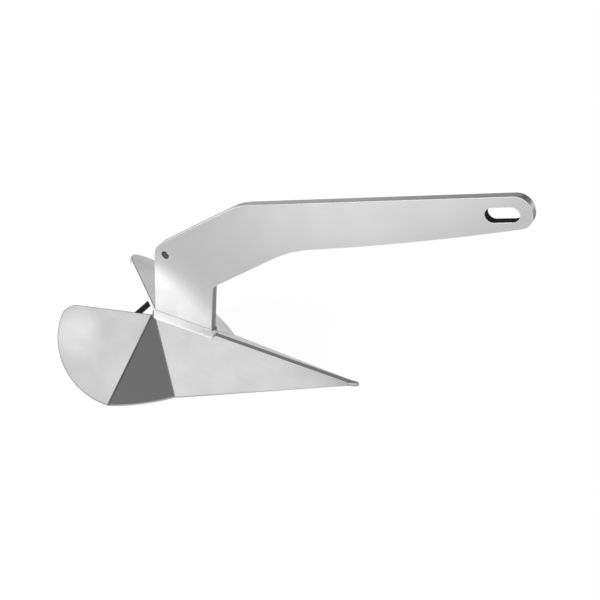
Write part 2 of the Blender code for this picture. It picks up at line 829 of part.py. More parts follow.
# Putting the anchor together

SATIN = metal("satin_stainless", (0.62, 0.62, 0.61), 0.32)
SHANK_SATIN = metal("satin_stainless_shank", (0.62, 0.62, 0.61), 0.28)
DRESSED = metal("dressed_weld", (0.66, 0.66, 0.65), 0.38)
AS_WELDED = metal("as_laid_weld", (0.48, 0.47, 0.45), 0.42)
BAR_STEEL = metal("drawn_bar", (0.50, 0.50, 0.49), 0.30)
LEAD = metal("cast_lead", (0.30, 0.31, 0.33), 0.60)

nose_face = half_space("nose_face", across(-NOSE_BUILD_UP))
middle_face = half_space("middle_face", (Vector((0.0, 1.0, 0.0)), -FIT_GAP / 2))
groove = cutter_object("groove", ridge_prism("groove", groove_section(), -OVERLAP,
                                             CREST_END.length + 4 * OVERLAP))

sheet, fold_ends = fluke_sheet("fluke_plate_starboard", NEAR)
plate = part_object("fluke_plate_starboard", sheet, SATIN)
fold_group(plate, fold_ends)
thicken(plate, FLUKE_PLATE, 0.0)
round_folds(plate)
for cutter in (middle_face, groove, nose_face):
    cut(plate, cutter)
mirrored("fluke_plate_port", plate, SATIN)

ridge_weld = part_object("ridge_weld", ridge_prism("ridge_weld", seam_section(0.0), 0.0,
                                                   CREST_END.length), DRESSED)
cut(ridge_weld, nose_face)
make_nose_weld("nose_weld", DRESSED)

make_shank(SHANK_SATIN)

skin = cutter_object("blade_skin", fluke_sheet("blade_skin", NEAR)[0])
thicken(skin, FLUKE_PLATE + 2 * FIT_GAP, FIT_GAP)
foot_weld = make_foot_side_weld("foot_weld_starboard", DRESSED, skin)
mirrored("foot_weld_port", foot_weld, DRESSED)

toe_cutters = [foot_clearance(), half_space("under_seat", (-RIDGE_UP, -SEAT_UP))]
for side, label in ((NEAR, "starboard"), (FAR, "port")):
    beyond = (Vector((0.0, float(side), 0.0)), SHANK_PLATE / 2)
    toe_cutters.append(half_space("beyond_" + label, beyond))
make_toe_weld("foot_weld_front", foot_front_along(), toe_cutters, DRESSED)
make_toe_weld("foot_weld_rear", FOOT_REAR_ALONG, toe_cutters, DRESSED)

part_object("ballast_cover", wedge("ballast_cover", COVER_TOP, COVER_BOTTOM, BALLAST_REAR), SATIN)
part_object("nose_ballast", wedge("nose_ballast", None, COVER_TOP + FIT_GAP, BALLAST_REAR), LEAD)
make_bulkhead("ballast_bulkhead", SATIN)
make_cover_weld("cover_weld_starboard", NEAR, AS_WELDED)
make_cover_weld("cover_weld_port", FAR, AS_WELDED)
make_bulkhead_weld("bulkhead_weld_starboard", NEAR, AS_WELDED)
make_bulkhead_weld("bulkhead_weld_port", FAR, AS_WELDED)
make_root_weld("ridge_root_weld", AS_WELDED)

make_tie_bar("tie_bar", BAR_STEEL)
make_bar_weld("tie_bar_weld_starboard", NEAR, AS_WELDED)
make_bar_weld("tie_bar_weld_port", FAR, AS_WELDED)


# Shading, and the anchor set on the floor with its box centred over the origin

def set_shading():
    for piece in ANCHOR.objects:
        if piece.type == "MESH":
            piece.data.shade_smooth()
            piece.data.set_sharp_from_angle(angle=radians(25.0))


def box_of(pieces):
    graph = bpy.context.evaluated_depsgraph_get()
    low = Vector((1e9, 1e9, 1e9))
    high = -low
    for piece in pieces:
        shown = piece.evaluated_get(graph)
        mesh = shown.to_mesh()
        for vertex in mesh.vertices:
            at = piece.matrix_world @ vertex.co
            low = Vector(min(a, b) for a, b in zip(low, at))
            high = Vector(max(a, b) for a, b in zip(high, at))
        shown.to_mesh_clear()
    return low, high


set_shading()
bpy.context.view_layer.update()
pieces = [piece for piece in ANCHOR.objects if piece.type == "MESH"]
low, high = box_of(pieces)
stand = bpy.data.objects.new("anchor_frame", None)
ANCHOR.objects.link(stand)
stand.empty_display_size = 0.1
for made in pieces + list(CUTTERS.objects):
    made.parent = stand
stand.location = (-(low.x + high.x) / 2, -(low.y + high.y) / 2, -low.z)
bpy.context.view_layer.update()
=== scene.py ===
# %% [markdown]
# # A stainless plough anchor in a plain white studio
#
# The anchor is welded up from cut steel plate: two folded fluke plates, a cranked shank
# and a few welds, with a round bar tying the wings together at the back. Its looks come
# from three things, which the cells below make in turn: flat facets that each mirror a
# different part of the room, a satin polish that blurs those mirror images, and small
# rounded edges that catch a line of light.
#
# The solids come ready made in a fixed frame, in metres. This script dresses them: it
# gives them rounded rims, rippled welds and finishes, lights the result and sets a camera on it.

# %% Load the anchor's solids
from math import cos, pi, radians, sin

import bmesh
import bpy
from mathutils import Matrix, Vector


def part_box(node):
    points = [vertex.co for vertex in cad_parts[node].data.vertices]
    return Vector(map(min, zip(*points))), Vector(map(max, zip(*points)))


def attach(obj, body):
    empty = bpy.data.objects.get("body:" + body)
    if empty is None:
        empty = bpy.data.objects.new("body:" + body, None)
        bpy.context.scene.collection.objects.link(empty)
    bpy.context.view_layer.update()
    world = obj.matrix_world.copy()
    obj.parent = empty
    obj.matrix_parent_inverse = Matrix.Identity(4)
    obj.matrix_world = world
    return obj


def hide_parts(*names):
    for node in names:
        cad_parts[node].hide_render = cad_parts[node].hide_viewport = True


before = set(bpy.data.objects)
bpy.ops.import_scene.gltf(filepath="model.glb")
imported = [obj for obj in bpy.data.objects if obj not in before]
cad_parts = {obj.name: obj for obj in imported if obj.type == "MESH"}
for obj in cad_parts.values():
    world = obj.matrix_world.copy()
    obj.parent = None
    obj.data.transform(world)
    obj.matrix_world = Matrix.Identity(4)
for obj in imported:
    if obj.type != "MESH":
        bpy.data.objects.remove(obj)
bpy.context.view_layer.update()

MM = 0.001
BODY = "root"

# %% [markdown]
# ## Small tools
#
# Colours are written as the sRGB hex values that a colour picker shows, and one function
# turns them into the linear values that Blender's shaders add and multiply. Another adds
# one node to a tree, sets it and links it, so that a material reads from top to bottom.

# %% Colour and node helpers
def linear(hex_colour):
    """Linear RGBA of an sRGB colour such as #D2D2D2."""
    shares = [int(hex_colour[i:i + 2], 16) / 255 for i in (1, 3, 5)]
    return (*[s / 12.92 if s <= 0.04045 else ((s + 0.055) / 1.055) ** 2.4 for s in shares], 1.0)


def add(tree, kind, inputs=None, **settings):
    """Add a node, set it, and fill or link its inputs by name or number."""
    made = tree.nodes.new(kind)
    for name, value in settings.items():
        setattr(made, name, value)
    for name, value in (inputs or {}).items():
        if isinstance(value, bpy.types.NodeSocket):
            tree.links.new(value, made.inputs[name])
        else:
            made.inputs[name].default_value = value
    return made


def direction(azimuth, elevation):
    """Unit vector at an azimuth from +X and an elevation above the floor, in degrees."""
    a, e = radians(azimuth), radians(elevation)
    return Vector((cos(e) * cos(a), cos(e) * sin(a), sin(e)))


WHITE = linear("#FFFFFF")
print("satin steel, linear:", round(linear("#D6D6D6")[0], 3))

# %% [markdown]
# ## Camera
#
# The photograph was taken from ahead of the anchor and to its starboard side, a little
# over a metre away, looking down at 28 degrees with the camera rolled clockwise. The
# place and the angles were solved from the anchor's straight edges and its symmetry.

# %% Camera
CAMERA_PLACE = Vector((723.8, -992.5, 784.1)) * MM
CAMERA_BACK = direction(-54.315, 27.892)
CAMERA_ROLL = radians(-14.063)
LENS_MM = 60.0
SENSOR_MM = 36.0

lens = bpy.data.cameras.new("camera")
lens.lens = LENS_MM
lens.sensor_width = SENSOR_MM
lens.clip_start = 0.05
lens.clip_end = 50.0
camera = bpy.data.objects.new("camera", lens)
aim = (-CAMERA_BACK).to_track_quat("-Z", "Y").to_matrix()
camera.rotation_euler = (aim @ Matrix.Rotation(CAMERA_ROLL, 3, "Z")).to_euler()
camera.location = CAMERA_PLACE
bpy.context.scene.collection.objects.link(camera)
bpy.context.scene.camera = camera
print("camera", [round(v, 3) for v in camera.location])

# %% [markdown]
# ## Studio light
#
# Polished steel has hardly any colour of its own: it shows the room. So the room matters
# more than any lamp. It is drawn as a world whose brightness depends on the direction
# alone: white all round, with round patches that have soft edges:
#
# - an opening in the ceiling over the anchor, dark in its depth. The narrow facet between
#   the two folds mirrors it, and the bend beside that facet mirrors its deepest part.
# - an unlit stretch of ceiling and wall at the back. The ground ridge and the top of the
#   arm mirror it, which is why they read as dark while the wide facets stay bright.
# - a dark strip low on the back wall, and a pale blind above it. The crank of the arm
#   mirrors the strip, and the middle of its upper edge the blind.
# - a dark doorway behind, to port, which darkens the round end of the head.
# - a soft box low down beside the camera. The wing throws its light on the shank's foot.
# - a tall window to starboard and behind, which draws the bright lines along the edges.
#
# The photograph doesn't show the room, so these patches are guesses. Each was put where
# the photograph's camera sees a face mirror it, and set until that face's tone matched.
# From other sides the same patches fall on other faces.

# %% World
# Each patch: the direction of its middle, its inner and outer radius in degrees between
# which it fades, and the strength inside it, where 1 is the white of the room.
OPENING = (direction(-43.6, 73.2), 17.0, 26.2, 0.205)
DEPTH = (direction(-27.5, 57.5), 6.5, 12.0, 0.30)
UNLIT_BACK = (direction(112.0, 50.0), 12.0, 60.0, 0.26)
LOW_WALL = (direction(130.0, 3.0), 4.0, 11.0, 0.55)
BLIND = (direction(124.5, 18.5), 2.0, 8.5, 1.30)
DOORWAY = (direction(64.0, 20.0), 10.0, 29.0, 0.25)
SOFT_BOX = (direction(-101.0, 4.0), 12.0, 24.0, 2.4)
WINDOW = (direction(-135.0, 25.0), 22.0, 31.0, 1.75)

scene = bpy.context.scene
scene.view_settings.view_transform = "Standard"
world = bpy.data.worlds.new("white_studio")
scene.world = world
world.use_nodes = True
room = world.node_tree
room.nodes.clear()
looking = add(room, "ShaderNodeTexCoord").outputs["Generated"]
looking = add(room, "ShaderNodeVectorMath", {0: looking}, operation="NORMALIZE").outputs["Vector"]
light = 1.0
PATCHES = (OPENING, DEPTH, UNLIT_BACK, LOW_WALL, BLIND, DOORWAY, SOFT_BOX, WINDOW)
for toward, inner, outer, strength in PATCHES:
    facing = add(room, "ShaderNodeVectorMath", {0: looking, 1: toward}, operation="DOT_PRODUCT")
    share = add(room, "ShaderNodeMapRange",
                {"Value": facing.outputs["Value"], "From Min": cos(radians(outer)),
                 "From Max": cos(radians(inner)), "To Min": 1.0, "To Max": strength},
                interpolation_type="SMOOTHSTEP")
    light = add(room, "ShaderNodeMath", {0: share.outputs[0], 1: light},
                operation="MULTIPLY").outputs[0]
seen = add(room, "ShaderNodeLightPath").outputs["Is Camera Ray"]
level = add(room, "ShaderNodeMix", {0: seen, 2: light, 3: 1.0})
glow = add(room, "ShaderNodeBackground", {"Color": WHITE, "Strength": level.outputs[0]})
add(room, "ShaderNodeOutputWorld", {"Surface": glow.outputs["Background"]})
print("patches:", len(PATCHES), "world nodes:", len(room.nodes))

# %% [markdown]
# ## Floor
#
# A wide white floor. To the camera it glows at nearly full white, so that it melts into
# the background, and only a small diffuse share of it takes the anchor's soft shadow. In
# the steel's mirror images it glows less and shades more, as a painted floor does. Three
# soft-edged rounds of it show in those mirror images alone: a painted pool of light beside
# the fluke, which lights the side of the arm, and two painted shadows on the far side,
# which the head's end and the edge of the shank's neck mirror. They were fitted as the
# patches were.

# %% Floor
FLOOR_RADIUS = 8.0
GLOW_SEEN = 0.89
GLOW_MIRRORED = 0.48
# Each round, painted light above 1 and painted shadow below: its middle on the floor and its inner
# and outer radius in mm, and its strength.
POOL_OF_PAINTED_LIGHT = ((-200.0, -690.0), 150.0, 400.0, 1.72)
FAR_PAINTED_SHADOW = ((550.0, 550.0), 200.0, 450.0, 0.15)
BACK_PAINTED_SHADOW = ((-1080.0, 890.0), 350.0, 700.0, 0.68)
SHADE_SEEN = linear("#747474")
SHADE_MIRRORED = linear("#A8A8A8")

disc = bmesh.new()
bmesh.ops.create_circle(disc, cap_ends=True, segments=96, radius=FLOOR_RADIUS)
floor_mesh = bpy.data.meshes.new("studio_floor")
disc.to_mesh(floor_mesh)
disc.free()
floor = bpy.data.objects.new("studio_floor", floor_mesh)
bpy.context.scene.collection.objects.link(floor)
paint = bpy.data.materials.new("white_floor_paint")
paint.use_nodes = True
tree = paint.node_tree
tree.nodes.clear()
path = add(tree, "ShaderNodeLightPath").outputs
mirrored = add(tree, "ShaderNodeMath", {0: path["Is Glossy Ray"], 1: path["Is Transmission Ray"]},
               operation="ADD", use_clamp=True)
place = add(tree, "ShaderNodeTexCoord").outputs["Object"]
pools = GLOW_MIRRORED
for (x, y), inner, outer, strength in (POOL_OF_PAINTED_LIGHT, FAR_PAINTED_SHADOW, BACK_PAINTED_SHADOW):
    away = add(tree, "ShaderNodeVectorMath", {0: place, 1: (x * MM, y * MM, 0.0)},
               operation="DISTANCE")
    share = add(tree, "ShaderNodeMapRange",
                {"Value": away.outputs["Value"], "From Min": inner * MM, "From Max": outer * MM,
                 "To Min": strength, "To Max": 1.0}, interpolation_type="SMOOTHSTEP")
    pools = add(tree, "ShaderNodeMath", {0: share.outputs[0], 1: pools},
                operation="MULTIPLY").outputs[0]
mirrored_glow = add(tree, "ShaderNodeMath", {0: mirrored.outputs[0], 1: pools},
                    operation="MULTIPLY")
strength = add(tree, "ShaderNodeMath", {0: path["Is Camera Ray"], 1: GLOW_SEEN,
                                        2: mirrored_glow.outputs[0]}, operation="MULTIPLY_ADD")
glow = add(tree, "ShaderNodeEmission", {"Color": WHITE, "Strength": strength.outputs[0]})
shade = add(tree, "ShaderNodeMix", {0: path["Is Camera Ray"], 6: SHADE_MIRRORED, 7: SHADE_SEEN},
            data_type="RGBA")
matt = add(tree, "ShaderNodeBsdfDiffuse", {"Color": shade.outputs[2]})
both = add(tree, "ShaderNodeAddShader", {0: glow.outputs[0], 1: matt.outputs[0]})
add(tree, "ShaderNodeOutputMaterial", {"Surface": both.outputs[0]})
floor_mesh.materials.append(paint)
print("floor radius in metres:", FLOOR_RADIUS)

# %% [markdown]
# ## Satin-polished plate
#
# The plates are 316 stainless steel, polished with a flap wheel to a satin finish. It
# blurs mirror images within a few degrees, leaves faint scratches along the wheel's path,
# and is never quite flat or even: the slow waves come from folding and grinding, and the
# soft patches from the hand that held the wheel. The scratches are really 0.1 mm apart;
# they are drawn about 1 mm apart, so that they show at all.
#
# One function makes every polished finish, because they differ only in how bright and how
# blurred they are and how deep their waves and scratches go. It reads Object coordinates,
# so that the pattern keeps its size in millimetres and lies the same way on every piece.
# A few soft round spots are painted brighter or duller than the rest: painted reflections,
# light and shade put into the colour. They were set until the tones there matched the
# photograph's. They are part of the colour, so they show under any light.

# %% Material: satin-polished stainless plate
SCRATCH_ACROSS = 1.2 * MM
SCRATCH_LENGTH = 40.0 * MM
PATCH_SIZE = 60.0 * MM
WAVE_SIZE = 150.0 * MM
SCRATCH_SHARE = 0.4
UNEVEN_LOW, UNEVEN_HIGH = 0.45, 0.95


def stainless(name, colour, roughness, spread, scratches_turned, wave, scratch, mottle=0.03,
              painted_reflections=()):
    """Polished steel, with scratches along X turned about Y, slow waves and soft patches.

    The last argument lists spots of painted reflection, brighter or duller: place, inner, outer,
    gain.
    """
    material = bpy.data.materials.new(name)
    material.use_nodes = True
    tree = material.node_tree
    shader = tree.nodes["Principled BSDF"]
    place = add(tree, "ShaderNodeTexCoord").outputs["Object"]
    along = add(tree, "ShaderNodeMapping", {
        "Vector": place, "Rotation": (0.0, scratches_turned, 0.0),
        "Scale": (SCRATCH_LENGTH, SCRATCH_ACROSS, SCRATCH_ACROSS)}, vector_type="TEXTURE")
    lines = add(tree, "ShaderNodeTexNoise", {
        "Vector": along.outputs[0], "Scale": 1.0, "Detail": 3.0, "Roughness": 0.6}).outputs[0]
    patches = add(tree, "ShaderNodeTexNoise", {
        "Vector": place, "Scale": 1 / PATCH_SIZE, "Detail": 2.0, "Roughness": 0.5}).outputs[0]
    waves = add(tree, "ShaderNodeTexNoise", {
        "Vector": place, "Scale": 1 / WAVE_SIZE, "Detail": 1.0, "Roughness": 0.4}).outputs[0]
    uneven = add(tree, "ShaderNodeMath", {0: lines, 1: SCRATCH_SHARE, 2: patches},
                 operation="MULTIPLY_ADD")
    rough = add(tree, "ShaderNodeMapRange", {
        "Value": uneven.outputs[0], "From Min": UNEVEN_LOW, "From Max": UNEVEN_HIGH,
        "To Min": roughness + spread, "To Max": roughness - spread})
    tint = add(tree, "ShaderNodeMapRange", {
        "Value": uneven.outputs[0], "From Min": UNEVEN_LOW, "From Max": UNEVEN_HIGH,
        "To Min": 1.0 - mottle, "To Max": 1.0 + mottle})
    tint = tint.outputs[0]
    # Spots of painted reflection: each scales the colour, brighter or darker.
    for spot, inner, outer, gain in painted_reflections:
        away = add(tree, "ShaderNodeVectorMath", {0: place, 1: spot}, operation="DISTANCE")
        share = add(tree, "ShaderNodeMapRange", {
            "Value": away.outputs["Value"], "From Min": inner, "From Max": outer,
            "To Min": gain, "To Max": 1.0}, interpolation_type="SMOOTHSTEP")
        tint = add(tree, "ShaderNodeMath", {0: tint, 1: share.outputs[0]},
                   operation="MULTIPLY").outputs[0]
    shade = add(tree, "ShaderNodeVectorMath", {0: linear(colour)[:3], "Scale": tint},
                operation="SCALE")
    bent = add(tree, "ShaderNodeBump", {"Height": waves, "Distance": wave, "Strength": 1.0})
    scored = add(tree, "ShaderNodeBump", {"Height": lines, "Distance": scratch, "Strength": 1.0,
                                          "Normal": bent.outputs[0]})
    tree.links.new(shade.outputs[0], shader.inputs["Base Color"])
    tree.links.new(rough.outputs[0], shader.inputs["Roughness"])
    tree.links.new(scored.outputs[0], shader.inputs["Normal"])
    shader.inputs["Metallic"].default_value = 1.0
    return material


# Each spot of painted reflection: its place, its inner and outer radius, and how many times as
# bright it is.
PAINTED_HIGHLIGHT_WING_CORNER = (Vector((-335.0, -103.0, 111.5)) * MM, 12.0 * MM, 56.0 * MM, 1.34)
PAINTED_HIGHLIGHT_BLADE_MIDDLE = (Vector((-57.0, -23.0, 20.5)) * MM, 10.0 * MM, 60.0 * MM, 1.09)
PAINTED_SHADE_BLADE_TIP = (Vector((65.0, -5.0, 5.0)) * MM, 10.0 * MM, 40.0 * MM, 0.82)
PLATE_GRAIN = radians(15.0)
SHANK_GRAIN = radians(-3.0)
# The wide facets: bright, with mirror images blurred and broken by slow waves and patches, and
# with the three spots of painted reflection above in their colour.
PLATE = stainless("satin_polished_stainless_plate", "#D6D6D6", 0.21, 0.04, PLATE_GRAIN,
                  wave=1.0 * MM, scratch=0.006 * MM, mottle=0.07,
                  painted_reflections=(PAINTED_HIGHLIGHT_WING_CORNER, PAINTED_HIGHLIGHT_BLADE_MIDDLE, PAINTED_SHADE_BLADE_TIP))
# The shank: the same polish on thicker, flatter plate, so the waves are shallower.
SHANK = stainless("satin_polished_stainless_shank", "#D6D6D6", 0.20, 0.03, SHANK_GRAIN,
                  wave=0.5 * MM, scratch=0.005 * MM)
# The ridge and the ends of the foot's weld: ground with a coarser disc, a little softer.
DRESSED = stainless("dressed_and_polished_weld", "#D0D0D0", 0.26, 0.05, PLATE_GRAIN,
                    wave=0.8 * MM, scratch=0.010 * MM)
# The two runs along the foot: buffed last, the brightest metal on the anchor.
BUFFED = stainless("buffed_fillet_weld", "#DCDCDC", 0.27, 0.05, PLATE_GRAIN,
                   wave=0.8 * MM, scratch=0.010 * MM)
# The rounded rims of the fluke: rougher, and painted a darker grey, painted shade that draws a
# thin dull outline.
RIM = stainless("flap_wheeled_rim", "#A8A8A8", 0.38, 0.05, PLATE_GRAIN,
                wave=0.2 * MM, scratch=0.010 * MM)
# The broken edges of the shank: rounded, and painted paler than steel is, a painted highlight that
# draws a bright line along them.
PAINTED_EDGE_HIGHLIGHT = stainless("filed_and_buffed_edge", "#F2F2F2", 0.30, 0.04, SHANK_GRAIN,
                  wave=0.2 * MM, scratch=0.005 * MM)
# The foot's front edge and the rear ends of its runs: a darker, blurred grey. On the front edge it
# is painted shade, the floor's shadow that this edge mirrors.
DARK_GREY_EDGE = stainless("brushed_edge", "#929292", 0.34, 0.05, SHANK_GRAIN,
                    wave=0.3 * MM, scratch=0.020 * MM)
# The outside of the wing's fold: a darker grey, painted shade in the crease, a thin dull line.
PAINTED_FOLD_SHADE = stainless("press_mark_along_fold", "#A4A4A4", 0.26, 0.04, PLATE_GRAIN,
                    wave=0.2 * MM, scratch=0.006 * MM)
# The point: rough, so it shows no mirror image, and painted a darker grey, painted shade at the
# tip.
POINT = stainless("scuffed_point", "#ABABAB", 0.42, 0.08, PLATE_GRAIN,
                  wave=0.2 * MM, scratch=0.020 * MM, mottle=0.10)
for finish in (PLATE, SHANK, DRESSED, BUFFED, RIM, PAINTED_EDGE_HIGHLIGHT, DARK_GREY_EDGE, PAINTED_FOLD_SHADE, POINT):
    print("finish:", finish.name)

# %% [markdown]
# ## Other finishes
#
# Where the polishing wheel doesn't reach, the metal keeps what its maker left, and the tie
# bar is simply given a near-black colour. A wall that a laser or a drill has cut carries a
# skin of oxide, which isn't metallic, so those two get no metallic value and little
# specular; the rest are bare metal. One function makes them all: a grain of two tones,
# stretched where the tool ran, with a fine relief.

# %% Materials: unpolished metals
GRAIN_LOW, GRAIN_HIGH = 0.3, 0.7
ROUGHNESS_SPREAD = 0.06
OXIDE_SPECULAR = 0.1


def raw_metal(name, colour, second, roughness, grain, stretch, relief, metallic=1.0):
    """Unpolished metal: two tones in a grain that can be stretched, with fine relief."""
    material = bpy.data.materials.new(name)
    material.use_nodes = True
    tree = material.node_tree
    shader = tree.nodes["Principled BSDF"]
    place = add(tree, "ShaderNodeTexCoord").outputs["Object"]
    scaled = add(tree, "ShaderNodeMapping", {
        "Vector": place, "Scale": [grain * s for s in stretch]}, vector_type="TEXTURE")
    speck = add(tree, "ShaderNodeTexNoise", {
        "Vector": scaled.outputs[0], "Scale": 1.0, "Detail": 4.0, "Roughness": 0.55}).outputs[0]
    tone = add(tree, "ShaderNodeMapRange", {
        "Value": speck, "From Min": GRAIN_LOW, "From Max": GRAIN_HIGH})
    mixed = add(tree, "ShaderNodeMix", {0: tone.outputs[0], 6: linear(colour), 7: linear(second)},
                data_type="RGBA")
    rough = add(tree, "ShaderNodeMapRange", {
        "Value": speck, "From Min": GRAIN_LOW, "From Max": GRAIN_HIGH,
        "To Min": roughness - ROUGHNESS_SPREAD, "To Max": roughness + ROUGHNESS_SPREAD})
    bump = add(tree, "ShaderNodeBump", {"Height": speck, "Distance": relief, "Strength": 1.0})
    tree.links.new(mixed.outputs[2], shader.inputs["Base Color"])
    tree.links.new(rough.outputs[0], shader.inputs["Roughness"])
    tree.links.new(bump.outputs[0], shader.inputs["Normal"])
    shader.inputs["Metallic"].default_value = metallic
    return material


# The slot's wall: nearly black, with the fine upright ribs that the laser leaves.
CUT_WALL = raw_metal("oxide_skin_of_laser_cut", "#1C1C1C", "#2C2C2C", roughness=0.75,
                     grain=0.6 * MM, stretch=(1.0, 20.0, 1.0), relief=0.03 * MM, metallic=0.0)
# The trip-line hole's wall: rings from the drill, a thinner skin and so a paler grey.
DRILLED = raw_metal("oxide_skin_of_drilled_hole", "#7C7C7C", "#A0A0A0", roughness=0.60,
                    grain=0.8 * MM, stretch=(1.0, 10.0, 1.0), relief=0.03 * MM, metallic=0.0)
for skin in (CUT_WALL, DRILLED):
    shader = skin.node_tree.nodes["Principled BSDF"]
    shader.inputs["Specular IOR Level"].default_value = OXIDE_SPECULAR
# The inner welds: straw and brown heat colours over half-bright metal.
AS_LAID = raw_metal("as_laid_weld_with_heat_tint", "#8F877B", "#B3A68E", roughness=0.34,
                    grain=4.0 * MM, stretch=(1.0, 1.0, 1.0), relief=0.05 * MM)
# The tie bar: a near-black metal, streaked along its length.
NEAR_BLACK_BAR = raw_metal("dark_drawn_bar", "#353535", "#4A4A4A", roughness=0.36,
                  grain=1.2 * MM, stretch=(1.0, 30.0, 1.0), relief=0.01 * MM)
# The ballast: blue-grey lead with the dull, clouded face of a casting.
LEAD = raw_metal("cast_lead", "#6E7075", "#85878B", roughness=0.58,
                 grain=6.0 * MM, stretch=(1.0, 1.0, 1.0), relief=0.1 * MM)
for metal in (CUT_WALL, DRILLED, AS_LAID, NEAR_BLACK_BAR, LEAD):
    print("raw metal:", metal.name)

# %% [markdown]
# ## Dressing a solid
#
# Each solid arrives as loose triangles with hard edges. A copy is merged, and its flat
# faces are joined again into one face each, which is what a bevel or a smooth shade needs.
#
# Shading is smooth across the rounds and broken only where two faces really meet at an
# edge. A plain smooth shade would bend the look of the wide facets, because each corner
# takes the mean of all the faces that meet there. A Weighted Normal modifier lets the
# largest face decide instead, so a facet mirrors as the flat plate that it is. Its result
# is made a plain mesh at once, as is a bevel's, so no piece keeps a modifier.

# %% Dressing helpers
FLAT = radians(0.3)
SMOOTH_BELOW = radians(28.0)
SHARP = radians(40.0)
MERGE = 0.01 * MM
LARGE_FACE_WEIGHT = 70


def merged_copy(node):
    """The node's shape as a bmesh of whole faces."""
    bm = bmesh.new()
    bm.from_mesh(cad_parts[node].data)
    bmesh.ops.remove_doubles(bm, verts=bm.verts, dist=MERGE)
    bmesh.ops.dissolve_limit(bm, angle_limit=FLAT, verts=bm.verts, edges=bm.edges)
    return bm


def mesh_of(bm, name, *materials):
    """A plain mesh of a bmesh, whose faces take the materials by number."""
    mesh = bpy.data.meshes.new(name)
    for material in materials:
        mesh.materials.append(material)
    bm.to_mesh(mesh)
    bm.free()
    return mesh


def evaluated(mesh, kind, settings):
    """Plain mesh that one modifier makes of a mesh."""
    holder = bpy.data.objects.new("holder", mesh)
    bpy.context.scene.collection.objects.link(holder)
    step = holder.modifiers.new("step", kind)
    settings(step)
    graph = bpy.context.evaluated_depsgraph_get()
    made = bpy.data.meshes.new_from_object(holder.evaluated_get(graph))
    bpy.data.objects.remove(holder, do_unlink=True)
    bpy.data.meshes.remove(mesh)
    return made


def flat_where_flat(mesh):
    """The mesh shaded smooth, with normals that the large flat faces decide."""
    mesh.shade_smooth()
    mesh.set_sharp_from_angle(angle=SMOOTH_BELOW)

    def favour_large_faces(step):
        step.mode = "FACE_AREA"
        step.weight = LARGE_FACE_WEIGHT
        step.keep_sharp = True

    return evaluated(mesh, "WEIGHTED_NORMAL", favour_large_faces)


def put_in_scene(name, mesh, slot, *nodes):
    """A finished piece: it rides with the anchor and stands for its solids."""
    mesh = flat_where_flat(mesh)
    mesh.name = name
    made = bpy.data.objects.new(name, mesh)
    bpy.context.scene.collection.objects.link(made)
    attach(made, BODY)
    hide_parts(*nodes)
    return made


print("dressing helpers ready")

# %% [markdown]
# ## Fluke plates
#
# Each plate is one sheet of 6 mm steel, folded twice. Its cut rim has been run over with
# the flap wheel, so it is rounded by about a millimetre all the way round. That round is
# rougher than the polished faces and painted a darker grey, painted shade that draws the
# thin dark line that outlines the wing in the photograph. The edges down in the seam along
# the ridge are left sharp, because the weld covers them. A strip along the outside of the
# wing's fold is painted a darker grey as well, a thin dull line of painted shade in the crease.

# %% Fluke plates
RIM_ROUND = 1.0 * MM
RIM_SEGMENTS = 4
SEAM_HALF = 6.0 * MM
NOSE_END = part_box("fluke_plate_starboard")[1].x - 1.0 * MM
WING_FACING = Vector((0.698, 0.398, 0.595)).normalized()
MIDDLE_FACING = Vector((0.421, 0.475, 0.773)).normalized()
FOLD_SHADE_FROM = radians(4.0)
FOLD_SHADE_TO = radians(1.0)


def on_the_rim(edge):
    """True for a sharp edge that isn't in the seam or under the nose weld."""
    sharp = len(edge.link_faces) == 2 and edge.calc_face_angle(0.0) > SHARP
    return sharp and all(abs(v.co.y) > SEAM_HALF and v.co.x < NOSE_END for v in edge.verts)


def in_the_fold(face):
    """True for a strip of the outer bend between the wing and the middle facet."""
    facing = Vector((face.normal.x, abs(face.normal.y), face.normal.z))
    whole = WING_FACING.angle(MIDDLE_FACING)
    from_wing, from_middle = facing.angle(WING_FACING), facing.angle(MIDDLE_FACING)
    between = from_wing + from_middle < whole + FOLD_SHADE_TO
    return between and from_wing > FOLD_SHADE_FROM and from_middle > FOLD_SHADE_TO


def round_the_rim(step):
    """Settings of the bevel on the cut rim; its strip takes the second material, whose darker grey
    is painted shade.
    """
    step.width = RIM_ROUND
    step.segments = RIM_SEGMENTS
    step.limit_method = "WEIGHT"
    step.use_clamp_overlap = False
    step.material = 1


for side in ("starboard", "port"):
    bm = merged_copy("fluke_plate_" + side)
    weight = bm.edges.layers.float.new("bevel_weight_edge")
    for edge in filter(on_the_rim, bm.edges):
        edge[weight] = 1.0
    # Strips of the outer fold take the third material, a darker grey of painted shade.
    marked = [face for face in bm.faces if in_the_fold(face)]
    for face in marked:
        face.material_index = 2
    mesh = evaluated(mesh_of(bm, "sheet", PLATE, RIM, PAINTED_FOLD_SHADE), "BEVEL", round_the_rim)
    fluke = put_in_scene("fluke_" + side, mesh, "plate_steel", "fluke_plate_" + side)
    print("fluke", side, "strips of the fold:", len(marked), "faces:", len(fluke.data.polygons))

# %% [markdown]
# ## Shank
#
# The shank is a single 12 mm plate. Its solid already has its rounded edges, so the copy
# only needs to be merged and shaded smooth. What differs from face to face is the finish,
# and each face is told apart by where it looks and where it lies: the broken edges look
# half sideways, the walls of the slot and the hole lie near the middle of each and don't
# look sideways at all, and the foot's front edge is the one that looks ahead, down low.

# %% Shank
SLOT_CENTRE = Vector((322.4, 0.0, 278.9)) * MM
SLOT_REACH = 22.0 * MM
HOLE_CENTRE = Vector((-200.1, 0.0, 200.3)) * MM
HOLE_REACH = 7.4 * MM
WALL_FACING = 0.2
SIDE_FACING = 0.98
FRONT_FACING = 0.85


